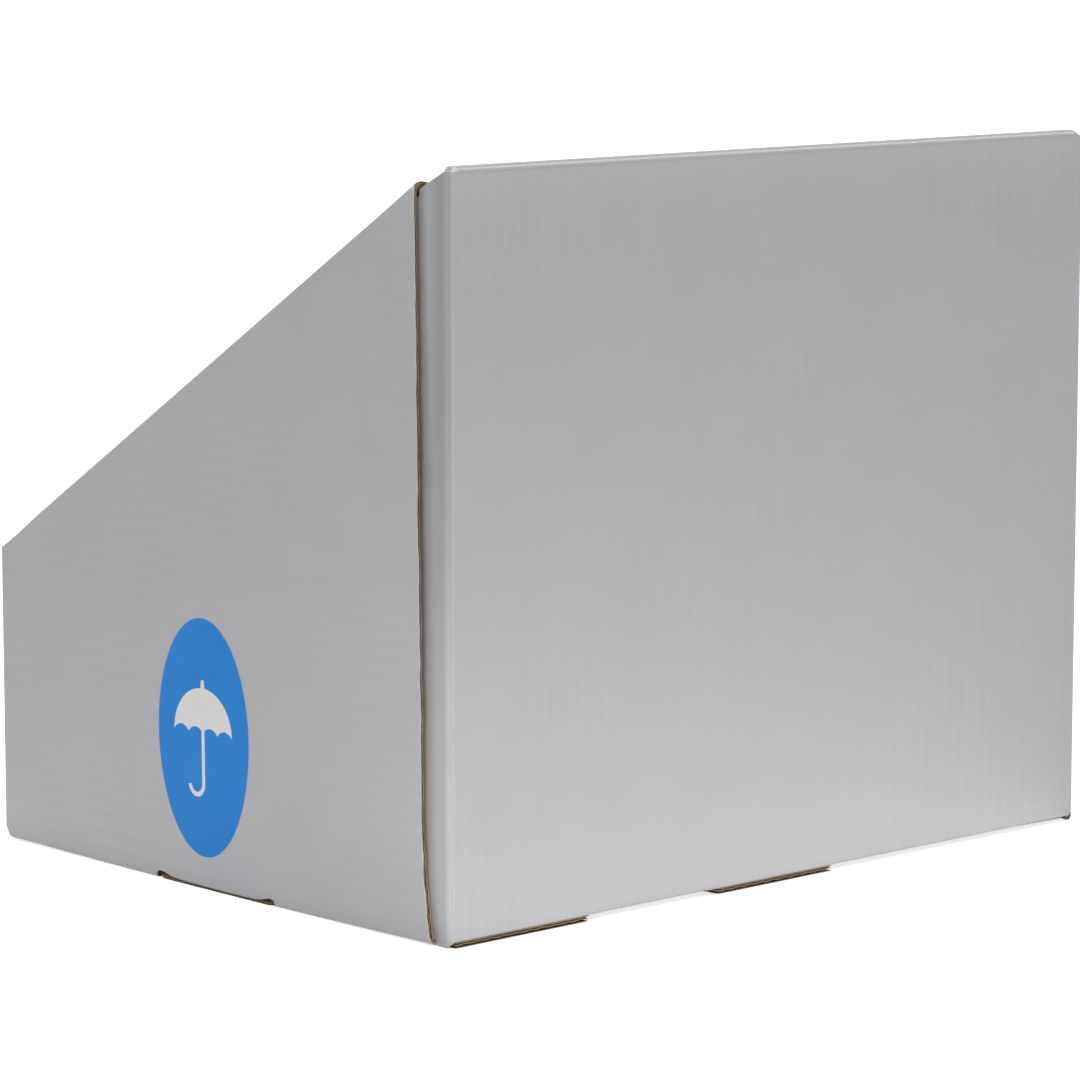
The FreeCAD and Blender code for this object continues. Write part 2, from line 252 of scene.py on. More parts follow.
def die_cut(bm, outline, cell):
    """Cut the flat sheet along a closed outline and drop the waste."""
    for start, stop in zip(outline, outline[1:] + outline[:1]):
        slice_near(bm, start, stop, cell)
    waste = [f for f in bm.faces if not inside(outline, f.calc_center_median())]
    bmesh.ops.delete(bm, geom=waste, context="FACES")


PRINTED, PRINT_RIM, PLAIN, PLAIN_RIM, FLUTED = range(5)


def unworn(place):
    """Shares of the board's thickness and of the flute's height that a place has lost."""
    return 0.0, 0.0


def thicken(bm, paper, wear):
    """Give a flat paper its level in the board, its thickness and its finishes."""
    if paper == "flutes":
        swing = (BOARD - 2 * LINER - FLUTE_PAPER) / 2
        for vert in bm.verts:
            turn = 2 * math.pi * vert.co.x / PITCH
            vert.co.z = -BOARD / 2 + swing * (1 - wear(vert.co)[1]) * math.sin(turn)
        thickness = FLUTE_PAPER
    else:
        thickness = LINER
    bmesh.ops.recalc_face_normals(bm, faces=bm.faces)
    if sum(face.normal.z for face in bm.faces) < 0:
        bmesh.ops.reverse_faces(bm, faces=bm.faces)
    bmesh.ops.solidify(bm, geom=bm.faces[:], thickness=thickness)
    if paper != "flutes":
        top = max(vert.co.z for vert in bm.verts)
        level = 0 if paper == "print" else LINER - BOARD
        bmesh.ops.translate(bm, vec=(0, 0, level - top), verts=bm.verts)
    bmesh.ops.recalc_face_normals(bm, faces=bm.faces)
    for face in bm.faces:
        if paper == "flutes":
            face.material_index = FLUTED
        elif abs(face.normal.z) < 0.5:
            face.material_index = PRINT_RIM if paper == "print" else PLAIN_RIM
        elif paper == "print" and face.normal.z > 0:
            face.material_index = PRINTED
        else:
            face.material_index = PLAIN
    flat = bm.verts.layers.float_vector.new("blank")
    # wear at scores and edges, with a painted highlight and painted light on some of them
    bm.verts.layers.float.new("score")
    # painted shade (positive) and painted light (negative), filled in by the cross walls
    bm.verts.layers.float.new("painted_shade")
    for vert in bm.verts:
        vert[flat] = vert.co
        vert.co.z *= 1 - wear(vert.co)[0]


def cut_papers(outline, lines, cuts=(), wear=unworn, papers=("print", "flutes", "lining")):
    """Cut every paper of one board along the outline.

    Lines are a point and a direction and cross the whole sheet, cuts run between two points.
    """
    low = Vector((min(c.x for c in outline), min(c.y for c in outline)))
    high = Vector((max(c.x for c in outline), max(c.y for c in outline)))
    done = []
    for paper in papers:
        fluted = paper == "flutes"
        cell = Vector((FLUTE_STEP, FLUTE_RUN)) if fluted else Vector((LINER_STEP, LINER_RUN))
        bm = flat_grid(low, high, cell)
        for start, run in lines:
            bisect(bm, bm.verts[:] + bm.edges[:] + bm.faces[:], start, start + run)
        for start, stop in cuts:
            slice_near(bm, start, stop, cell)
        die_cut(bm, outline, cell)
        thicken(bm, paper, wear)
        done.append(bm)
    return done


def score_lines(start, across, run, scores):
    """Lines of the flat sheet at which it is sliced so that it can bend over its scores."""
    lines = []
    for ahead, radius, turn in scores:
        count = max(2, round(turn / SLICE_TURN))
        places = [ahead + radius * turn * n / count for n in range(count + 1)]
        for place in [ahead - WORN_REACH] + places + [ahead + radius * turn + WORN_REACH]:
            lines.append((start + across * place, run))
    return lines


def bent(beyond, depth, scores):
    """Where a point comes to lie that starts beyond the first score, depth off the print."""
    along = Vector((1, 0))
    out = Vector((0, 1))
    corner = Vector((0, 0))
    travelled = 0.0
    low = -math.inf
    for ahead, radius, turn in scores:
        reach = radius * turn
        inner = radius + depth
        slack = max(0.0, -inner) * math.tan(turn / 2)
        if beyond <= ahead or (inner < 0 and beyond <= ahead + reach / 2):
            flat = max(low, min(beyond, ahead - slack))
            return corner + along * (flat - travelled) + out * depth
        centre = corner + along * (ahead - travelled) - out * radius
        if beyond < ahead + reach and inner >= 0:
            angle = (beyond - ahead) / radius
            return centre + (out * math.cos(angle) + along * math.sin(angle)) * inner
        turned_out = out * math.cos(turn) + along * math.sin(turn)
        along = along * math.cos(turn) - out * math.sin(turn)
        out = turned_out
        corner = centre + out * radius
        travelled = ahead + reach
        low = travelled + slack
    return corner + along * (max(beyond, low) - travelled) + out * depth


def place_board(bm, place):
    """Carry the flat board to its panel; place turns flat coordinates into the frame's."""
    for vert in bm.verts:
        vert.co = place(vert.co)


def fold(bm, start, across, outward, scores, chosen):
    """Bend the chosen part of a board over its scores, print outwards, and mark the wear.

    start is a point of the first score on the printed face, across leads from it to the part
    that moves, and outward is the printed side.
    """
    flat = bm.verts.layers.float_vector["blank"]
    wear_and_painted_light = bm.verts.layers.float["score"]
    for vert in bm.verts:
        if not chosen(vert[flat]):
            continue
        offset = vert.co - start
        beyond = offset.dot(across)
        depth = offset.dot(outward)
        place = bent(beyond, depth, scores)
        vert.co = vert.co + across * (place.x - beyond) + outward * (place.y - depth)
        for ahead, radius, turn in scores:
            half = radius * turn / 2
            off = max(0, abs(beyond - ahead - half) - half)
            vert[wear_and_painted_light] = max(vert[wear_and_painted_light], 1 - off / WORN_REACH)


def settle(bm, shape):
    """Move every point of a folded board by what shape says for it."""
    flat = bm.verts.layers.float_vector["blank"]
    for vert in bm.verts:
        vert.co = vert.co + shape(vert.co, vert[flat])


def mark_print(bm, layer, share):
    """Add to a layer of marks where share, for each flat place, says so: score takes wear and a painted
    highlight, the other layer painted shade and painted light.
    """
    flat = bm.verts.layers.float_vector["blank"]
    kept = bm.verts.layers.float[layer]
    for vert in bm.verts:
        vert[kept] += share(vert[flat])


def join_papers(name, papers, finishes, body=None, nodes=()):
    """Join the papers of one board into a piece that stands for its nodes."""
    joined = bmesh.new()
    mesh = bpy.data.meshes.new(name)
    for bm in papers:
        bmesh.ops.remove_doubles(bm, verts=bm.verts, dist=NEAR / 20)
        bmesh.ops.dissolve_degenerate(bm, edges=bm.edges, dist=NEAR / 20)
        bmesh.ops.recalc_face_normals(bm, faces=bm.faces)
        for face in bm.faces:
            face.smooth = True
        for edge in bm.edges:
            edge.smooth = edge.is_manifold and edge.calc_face_angle(0) < SHARP_TURN
        bm.to_mesh(mesh)
        joined.from_mesh(mesh)
        bm.free()
    joined.to_mesh(mesh)
    joined.free()
    piece = bpy.data.objects.new(name, mesh)
    bpy.context.scene.collection.objects.link(piece)
    for material in finishes:
        mesh.materials.append(material)
    if body:
        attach(piece, body)
    if nodes:
        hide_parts(*nodes)
    return piece


SHARP_TURN = math.radians(40)


def arc(centre, radius, start, stop, count):
    """Points of an arc in the flat sheet, both ends included, angles in degrees."""
    angles = [math.radians(start + (stop - start) * n / count) for n in range(count + 1)]
    return [centre + radius * Vector((math.cos(a), math.sin(a))) for a in angles]


# Materials


def new_material(name):
    material = bpy.data.materials.new(name)
    material.use_nodes = True
    tree = material.node_tree
    return material, tree, tree.nodes["Principled BSDF"]


def node(tree, kind, **values):
    made = tree.nodes.new(kind)
    for key, value in values.items():
        if key in made.inputs:
            made.inputs[key].default_value = value
        else:
            setattr(made, key, value)
    return made


def wire(tree, *pairs):
    for source, target in pairs:
        tree.links.new(source, target)


def math_node(tree, operation, first, second, clamp=False):
    made = node(tree, "ShaderNodeMath", operation=operation, use_clamp=clamp)
    for number, value in enumerate((first, second)):
        if isinstance(value, (int, float)):
            made.inputs[number].default_value = value
        else:
            tree.links.new(value, made.inputs[number])
    return made.outputs[0]


def map_range(tree, source, low, high, to_low=0.0, to_high=1.0):
    made = node(tree, "ShaderNodeMapRange")
    made.inputs["From Min"].default_value = low
    made.inputs["From Max"].default_value = high
    made.inputs["To Min"].default_value = to_low
    made.inputs["To Max"].default_value = to_high
    tree.links.new(source, made.inputs["Value"])
    return made.outputs[0]


def texture(tree, kind, place, **values):
    made = node(tree, kind, **values)
    tree.links.new(place, made.inputs["Vector"])
    return made


def group_tree(name, inputs, outputs):
    tree = bpy.data.node_groups.new(name, "ShaderNodeTree")
    for label, value in inputs:
        socket = tree.interface.new_socket(
            name=label, in_out="INPUT", socket_type="NodeSocketFloat"
        )
        socket.default_value = value
    for label in outputs:
        tree.interface.new_socket(name=label, in_out="OUTPUT", socket_type="NodeSocketFloat")
    return tree, tree.nodes.new("NodeGroupInput"), tree.nodes.new("NodeGroupOutput")


def board_surface_group():
    """Marks that flutes, fibres, dirt and scores leave on paper, with painted shade, painted highlight and
    painted light from the attributes: shade, gloss, relief, wear.
    """
    tree, given, result = group_tree(
        "board_surface",
        [
            ("Flute Marks", 0.3),
            ("Fibre", 0.3),
            ("Mottle", 0.3),
            ("Specks", 0.0),
            ("Painted Shade", 0.0),
        ],
        ["Shade", "Gloss", "Height", "Wear And Painted Light"],
    )
    blank = node(tree, "ShaderNodeAttribute", attribute_name="blank").outputs["Vector"]
    split = node(tree, "ShaderNodeSeparateXYZ")
    wire(tree, (blank, split.inputs[0]))

    drift = texture(tree, "ShaderNodeTexNoise", blank, Scale=26.0, Detail=2.0)
    wander = math_node(tree, "MULTIPLY", drift.outputs[0], 7.0)
    turns = math_node(tree, "MULTIPLY", split.outputs[0], 2 * math.pi / PITCH)
    flute = math_node(tree, "SINE", math_node(tree, "ADD", turns, wander), 0)
    patch = texture(tree, "ShaderNodeTexNoise", blank, Scale=9.0, Detail=2.0)
    strength = map_range(tree, patch.outputs[0], 0.44, 0.62, 0.12, 1.0)
    marks = math_node(tree, "MULTIPLY", flute, strength)
    marks = math_node(tree, "MULTIPLY", marks, given.outputs["Flute Marks"])

    stretch = node(tree, "ShaderNodeMapping")
    stretch.inputs["Scale"].default_value = (1.0, 0.22, 1.0)
    wire(tree, (blank, stretch.inputs["Vector"]))
    fibres = texture(tree, "ShaderNodeTexNoise", stretch.outputs[0], Scale=2600.0, Detail=3.0)
    fibre = math_node(tree, "SUBTRACT", fibres.outputs[0], 0.5)
    fibre = math_node(tree, "MULTIPLY", fibre, given.outputs["Fibre"])

    clouds = texture(tree, "ShaderNodeTexNoise", blank, Scale=30.0, Detail=5.0, Roughness=0.6)
    mottle = math_node(tree, "SUBTRACT", clouds.outputs[0], 0.5)
    mottle = math_node(tree, "MULTIPLY", mottle, given.outputs["Mottle"])

    cells = texture(tree, "ShaderNodeTexVoronoi", blank, Scale=34.0)
    lucky = node(tree, "ShaderNodeSeparateColor")
    wire(tree, (cells.outputs["Color"], lucky.inputs[0]))
    chance = math_node(tree, "GREATER_THAN", lucky.outputs[0], 0.72)
    speck = map_range(tree, cells.outputs["Distance"], 0.010, 0.022, 1.0, 0.0)
    speck = math_node(tree, "MULTIPLY", math_node(tree, "MULTIPLY", speck, chance), 0.8)
    speck = math_node(tree, "MULTIPLY", speck, given.outputs["Specks"])

    # wear at scores, chips and frayed edges, with a painted highlight and painted light laid into the same
    # attribute
    score = node(tree, "ShaderNodeAttribute", attribute_name="score").outputs["Fac"]
    rough = map_range(tree, fibres.outputs[0], 0.35, 0.65, 0.85, 1.0)
    wear_and_painted_light = math_node(tree, "MULTIPLY", score, rough)
    # painted shade, negative for painted light, taken off the paper's shade
    painted_shade = node(tree, "ShaderNodeAttribute", attribute_name="painted_shade").outputs["Fac"]
    painted_shade = math_node(tree, "MULTIPLY", painted_shade, given.outputs["Painted Shade"])

    shade = math_node(tree, "ADD", math_node(tree, "MULTIPLY", marks, 0.05), fibre)
    shade = math_node(tree, "SUBTRACT", math_node(tree, "ADD", shade, mottle), speck)
    shade = math_node(tree, "SUBTRACT", shade, painted_shade)
    gloss = math_node(tree, "ADD", math_node(tree, "MULTIPLY", mottle, 1.5), fibre)
    gloss = math_node(tree, "SUBTRACT", gloss, math_node(tree, "MULTIPLY", wear_and_painted_light, 0.06))
    height = math_node(tree, "ADD", math_node(tree, "MULTIPLY", fibre, 0.25), marks)
    wire(
        tree,
        (shade, result.inputs["Shade"]),
        (gloss, result.inputs["Gloss"]),
        (height, result.inputs["Height"]),
        (wear_and_painted_light, result.inputs["Wear And Painted Light"]),
    )
    return tree


BOARD_SURFACE = board_surface_group()


def paper_material(name, dark, light, wear_and_painted_light, roughness, bump, marks, **sockets):
    """Paper with its own tones, laid over the shared marks of the board."""
    material, tree, shader = new_material(name)
    surface = node(tree, "ShaderNodeGroup", node_tree=BOARD_SURFACE)
    labels = ("Flute Marks", "Fibre", "Mottle", "Specks", "Painted Shade")
    for label, value in zip(labels, marks):
        surface.inputs[label].default_value = value
    tone = node(tree, "ShaderNodeValToRGB")
    tone.color_ramp.elements[0].color = (*dark, 1)
    tone.color_ramp.elements[1].color = (*light, 1)
    level = math_node(tree, "ADD", surface.outputs["Shade"], 0.5, clamp=True)
    chip_and_painted_highlight = node(tree, "ShaderNodeMix", data_type="RGBA")
    # the paper turns to its worn colour where it is worn, and also where a highlight and light are painted
    share = map_range(tree, surface.outputs["Wear And Painted Light"], 0.0, 2.0, 0.0, 1.0)
    share = math_node(tree, "POWER", share, 3.0)
    rough = math_node(tree, "SUBTRACT", roughness, surface.outputs["Gloss"], clamp=True)
    relief = node(tree, "ShaderNodeBump", Strength=1.0, Distance=bump)
    colours = [socket for socket in chip_and_painted_highlight.inputs if socket.type == "RGBA"]
    factors = [socket for socket in chip_and_painted_highlight.inputs if socket.type == "VALUE"]
    colours[1].default_value = (*wear_and_painted_light, 1)
    wire(
        tree,
        (level, tone.inputs[0]),
        (tone.outputs[0], colours[0]),
        (share, factors[0]),
        ([s for s in chip_and_painted_highlight.outputs if s.type == "RGBA"][0], shader.inputs["Base Color"]),
        (rough, shader.inputs["Roughness"]),
        (surface.outputs["Height"], relief.inputs["Height"]),
        (relief.outputs[0], shader.inputs["Normal"]),
    )
    for key, value in sockets.items():
        shader.inputs[key.replace("_", " ")].default_value = value
    return material


silver_print = paper_material(
    "silver_print",
    dark=(0.300, 0.297, 0.308),
    light=(0.585, 0.578, 0.597),
    wear_and_painted_light=(0.80, 0.79, 0.78),
    roughness=0.42,
    bump=0.035 * MM,
    # the last mark passes on the painted shade and painted light of the cross walls
    marks=(0.45, 0.12, 0.1, 0.5, 0.42),
    Metallic=0.15,
)
print_rim = paper_material(
    "print_rim",
    dark=(0.50, 0.44, 0.38),
    light=(0.82, 0.77, 0.70),
    wear_and_painted_light=(0.80, 0.76, 0.72),
    roughness=0.85,
    bump=0.04 * MM,
    marks=(0.0, 1.2, 0.8, 0.0, 0.0),
)
kraft_lining = paper_material(
    "kraft_lining",
    dark=(0.24, 0.145, 0.08),
    light=(0.44, 0.30, 0.18),
    wear_and_painted_light=(0.55, 0.42, 0.30),
    roughness=0.82,
    bump=0.06 * MM,
    marks=(1.2, 0.9, 0.6, 0.0, 0.0),
)
kraft_rim = paper_material(
    "kraft_rim",
    dark=(0.34, 0.23, 0.14),
    light=(0.62, 0.47, 0.32),
    wear_and_painted_light=(0.68, 0.54, 0.40),
    roughness=0.85,
    bump=0.04 * MM,
    marks=(0.0, 1.2, 0.8, 0.0, 0.0),
)
fluted_paper = paper_material(
    "fluted_paper",
    dark=(0.27, 0.17, 0.09),
    light=(0.50, 0.35, 0.21),
    wear_and_painted_light=(0.55, 0.42, 0.30),
    roughness=0.85,
    bump=0.04 * MM,
    marks=(0.0, 0.9, 0.6, 0.0, 0.0),
)
blue_ink = paper_material(
    "blue_ink",
    dark=(0.020, 0.235, 0.70),
    light=(0.036, 0.300, 0.83),
    wear_and_painted_light=(0.70, 0.72, 0.75),
    roughness=0.55,
    bump=0.035 * MM,
    marks=(1.0, 0.2, 0.2, 0.5, 0.0),
    Specular_IOR_Level=0.15,
)
white_ink = paper_material(
    "white_ink",
    dark=(0.78, 0.76, 0.75),
    light=(0.90, 0.88, 0.87),
    wear_and_painted_light=(0.80, 0.80, 0.80),
    roughness=0.45,
    bump=0.035 * MM,
    marks=(1.0, 0.2, 0.2, 0.5, 0.0),
)
BOARD_FINISHES = (silver_print, print_rim, kraft_lining, kraft_rim, fluted_paper)

UP = Vector((0, 0, 1))

# Corner flaps start where the board has turned the corner
CREASE = FLAP_FACE - FACET - WALL_TANGENT
TURNED = FACET + FLAP_TANGENT
FLAP_ZERO = CREASE + CORNER_SCORES[1][0] + FLAP_SCORE * EIGHTH - TURNED
FOLD_END = CREASE - 0.2 * MM


def flap_outline(side):
    """Outline of a corner flap from its foot to its top, as distance from the wall and height."""
    foot = BASE_TOP + GAP
    far = FLAP_LENGTH - FLAP_CORNER
    if side > 0:
        toe = TOE_BEND - FOOT_SCORE * TOE_TURN
        held = HALF_DEPTH - SIDE_BACK - GAP
        free_top = slant_seat(HALF_DEPTH - FLAP_LENGTH)
        edge_top = BACK_TOP - 0.1 * MM
        shown = [
            Vector((held, slant_seat(HALF_DEPTH - held))),
            Vector((held, edge_top - FLAP_SLOPE * held)),
            Vector((TURNED, edge_top - FLAP_SLOPE * TURNED)),
        ]
    else:
        toe = LIP_TOP
        reach = slant_seat(-PANEL_END) - LIFT - 2 * GAP
        free_top = LIFT + math.sqrt(reach**2 - FLAP_LENGTH**2)
        shown = [Vector((TURNED, LIFT + math.sqrt(reach**2 - BOARD**2)))]
    return (
        [Vector((TURNED, toe)), Vector((FLAP_SHOWN, toe)), Vector((FLAP_SHOWN, foot))]
        + arc(Vector((far, foot + FLAP_CORNER)), FLAP_CORNER, -90, 0, 4)
        + arc(Vector((far, free_top - FLAP_CORNER)), FLAP_CORNER, 0, 60, 4)
        + shown
    )


def cross_wall(place, side, top):
    """Back or front wall: outer panel, flaps, scored top and inner panel from one sheet."""
    bend = top - TOP_SCORE
    over = 2 * bend + TOP_SCORES[1][0] + TOP_SCORE * QUARTER
    foot = LIFT + FOOT_SCORE
    ear = top - EAR_DROP[side]
    pinched = bend + TOP_SCORES[1][0] + TOP_SCORE * EIGHTH
    lining = LINING_HALF - GAP
    lining_foot = over - BASE_TOP - GAP
    tab_foot = over - LIP_TOP
    flap = flap_outline(side)
    right_flap = [Vector((FLAP_ZERO + p.x, p.y)) for p in flap]
    left_flap = [Vector((-FLAP_ZERO - p.x, p.y)) for p in reversed(flap)]
    outline = [Vector((-CREASE, foot))]
    outline += [Vector((MIDDLE_LIP[0] - GAP, foot)), Vector((MIDDLE_LIP[0] - GAP, LIP_TOP))]
    outline += [Vector((MIDDLE_LIP[1] + GAP, LIP_TOP)), Vector((MIDDLE_LIP[1] + GAP, foot))]
    outline += [Vector((CORNER_LIP[0] - GAP, foot)), Vector((CORNER_LIP[0] - GAP, LIP_TOP))]
    outline += [Vector((CREASE, LIP_TOP))] + right_flap
    outline += [Vector((CREASE, ear)), Vector((FOLD_END, ear)), Vector((FOLD_END, pinched))]
    outline += [Vector((lining, pinched)), Vector((lining, lining_foot))]
    for left, right in (CORNER_LIP, MIDDLE_LIP):
        tab_end = min(right, lining - GAP) - GAP
        outline += [Vector((tab_end, lining_foot)), Vector((tab_end, tab_foot))]
        outline += [Vector((left + GAP, tab_foot)), Vector((left + GAP, lining_foot))]
    outline += [Vector((-lining, lining_foot)), Vector((-lining, pinched))]
    outline += [Vector((-FOLD_END, pinched)), Vector((-FOLD_END, ear)), Vector((-CREASE, ear))]
    outline += left_flap

    upright = Vector((0, 1))
    level = Vector((1, 0))
    lines = score_lines(Vector((0, bend)), upright, level, TOP_SCORES)
    lines += [(Vector((0, bend - GROOVE_DOWN + GROOVE * n / 2)), level) for n in range(-3, 4)]
    for end in (1, -1):
        lines += score_lines(Vector((end * CREASE, 0)), level * end, upright, CORNER_SCORES)
        lines += [(Vector((end * (FOLD_END - PINCH * n / 4), 0)), upright) for n in range(1, 5)]
        lines += [(Vector((end * (FLAP_ZERO + 2 * MM * n), 0)), upright) for n in range(2, 7)]
        lines += [(Vector((end * (FLAP_FACE - FAR_ROUND * n / 6), 0)), upright) for n in (4, 5, 6)]
    if side > 0:
        lines += score_lines(Vector((0, TOE_BEND)), -upright, level, TOE_SCORES)
    outward = Vector((0, side, 0))

    def wear(flat):
        pinch = ramp(abs(flat.x), FOLD_END - PINCH, FOLD_END) * ramp(flat.y, bend - MM, top)
        return 0.85 * pinch, 0.9 * pinch

    def rolled(flat):
        return abs(flat.x) < FOLD_END + NEAR

    def toe(flat):
        return abs(flat.x) > FLAP_ZERO + TURNED - NEAR and flat.y < TOE_BEND + WORN_REACH

    def flapped(flat):
        return abs(flat.x) > CREASE - 2 * BOARD and flat.y < top

    def chip_and_painted_highlight(flat):
        """Painted highlight along the rounding of the scored top, and print chipped at its near end."""
        near = between(flat.x, CREASE - 2 * MM, CREASE + MM, MM)
        chip = near * ramp(flat.y, top - 3 * MM, top - MM) * (0.9 if side > 0 else 0)
        # a chipped near end, and a painted highlight band on the rounding of the top score
        return chip + 1.2 * between(flat.y, bend + 1.0 * MM, bend + 1.6 * MM, 0.5 * MM)

    def painted_shade_and_light(flat):
        """Painted shade in the groove below the top and on the upper part of the flaps, painted light just
        below the top and on the lower flaps.
        """
        outer = abs(flat.x)
        if outer < CREASE:
            # painted sheen: lighter just below the top; painted shade in the groove under it
            painted_sheen = 0.3 * ramp(flat.y, bend - 22 * MM, bend) if flat.y < bend + MM else 0
            return 0.6 * math.exp(-(((flat.y - bend + GROOVE_DOWN) / GROOVE) ** 2)) - painted_sheen
        # painted shade on the facet and upper flaps, painted light on the lower flaps near the side panel
        inner = ramp(outer, FLAP_ZERO + 5 * MM, FLAP_ZERO + 12 * MM)
        upper = ramp(flat.y, 90 * MM, 205 * MM)
        return ramp(outer, CREASE, CREASE + FACET) * upper * (1 - 0.9 * inner) - 0.5 * inner * (1 - upper)

    boards = cut_papers(outline, lines, wear=wear)
    for bm in boards:
        place_board(bm, lambda co: Vector((co.x, side * (HALF_DEPTH + co.z), co.y)))
        if side > 0:
            start = Vector((0, side * HALF_DEPTH, TOE_BEND))
            fold(bm, start, -UP, outward, TOE_SCORES, toe)
        start = Vector((0, side * HALF_DEPTH, bend))
        fold(bm, start, UP, outward, TOP_SCORES, rolled)
        for end in (1, -1):
            start = Vector((end * CREASE, side * HALF_DEPTH, 0))
            fold(bm, start, Vector((end, 0, 0)), outward, CORNER_SCORES, flapped)
        settle(bm, lambda co, flat: cross_wall_shape(co, flat, side, bend))
        # chips and a painted highlight into score, painted shade and painted light into the other layer
        mark_print(bm, "score", chip_and_painted_highlight)
        mark_print(bm, "painted_shade", painted_shade_and_light)
    join_papers(
        place + "_wall_sheet",
        boards,
        BOARD_FINISHES,
        place + "_wall",
        (
            place + "_outer_wall",
            place + "_top_fold",
            place + "_inner_wall",
            place + "_corner_flap_right",
            place + "_corner_flap_left",
        ),
    )


def cross_wall_shape(co, flat, side, bend):
    """Panels stand a little proud in the middle, and the top rounds off at its ends."""
    end = abs(co.x)
    if side < 0:
        droop = 2.0 * MM * ramp(end, LINING_HALF - 8 * MM, FLAP_FACE)
    elif co.x > 0:
        droop = 0.3 * MM * ramp(end, FLAP_FACE - 5 * MM, FLAP_FACE)
    else:
        share = min(1, max(0, 1 - (FLAP_FACE - end) / FAR_ROUND))
        droop = FAR_DROOP * (1 - math.sqrt(1 - share**2))
    drop = UP * droop * ramp(co.z, bend - 5 * MM, bend + TOP_SCORE)
    if abs(flat.x) > LINING_HALF:
        if bend < flat.y and abs(flat.x) <= FOLD_END + NEAR:
            depth = HALF_DEPTH - abs(co.y)
            closed = bend + TOP_SCORE - EAR_DROP[side] - FLAP_SLOPE * depth - 0.4 * MM
            drop.z += max(0, co.z - closed) * ramp(abs(flat.x), FOLD_END - PINCH, FOLD_END)
        return -drop
    middle = 1 - (co.x / FLAP_FACE) ** 2
    height = math.sin(math.pi * min(1, max(0, co.z / bend)))
    wave = 0.12 * MM * noise.noise(flat * 9)
    bow = 0.9 * MM if flat.y < bend else -0.7 * MM
    groove = GROOVE_DEPTH * math.exp(-(((flat.y - bend + GROOVE_DOWN) / GROOVE) ** 2))
    return Vector((0, side * ((bow + wave) * middle * height - groove), 0)) - drop


def rear_edge(z):
    """Rear edge of the outer side panel, which runs out towards the foot."""
    lean = 2.3 * MM * (1 - z / slant_seat(SIDE_BACK))
    flare = 5.6 * MM * math.exp(-z / (16 * MM))
    bulge = 2.0 * MM * math.sin(math.pi * min(1, (z + 45 * MM) / (325 * MM)))
    return SIDE_BACK + lean + flare + bulge


def belly(y):
    """How far the foot of a side wall sags."""
    return 1.2 * MM + 1.0 * MM * (1 - min(1, abs(y - 5 * MM) / (128 * MM)) ** 2)


def outer_shape(y, z):
    """How far the outer side panel stands out, most along its free rear edge, and sags."""
    height = math.sin(math.pi * min(1, max(0, z / (slant_seat(y) + MM)))) ** 1.2
    rear = ramp(y, 40 * MM, 120 * MM)
    middle = 1 - (y / HALF_DEPTH) ** 2
    wave = 0.15 * MM * noise.noise(Vector((y * 9, z * 14, 3)))
    stand = height * ((0.6 * MM + wave) * middle + 0.9 * MM * rear)
    return stand, belly(y) * (1 - ramp(z, 0, 60 * MM))


def flat_foot(z):
    """Flat place of a point at the foot of a side panel that ends at height z."""
    foot = LIFT + FOOT_SCORE
    if z >= foot:
        return z
    return foot - FOOT_SCORE * math.asin(min(1, (foot - z) / FOOT_SCORE))


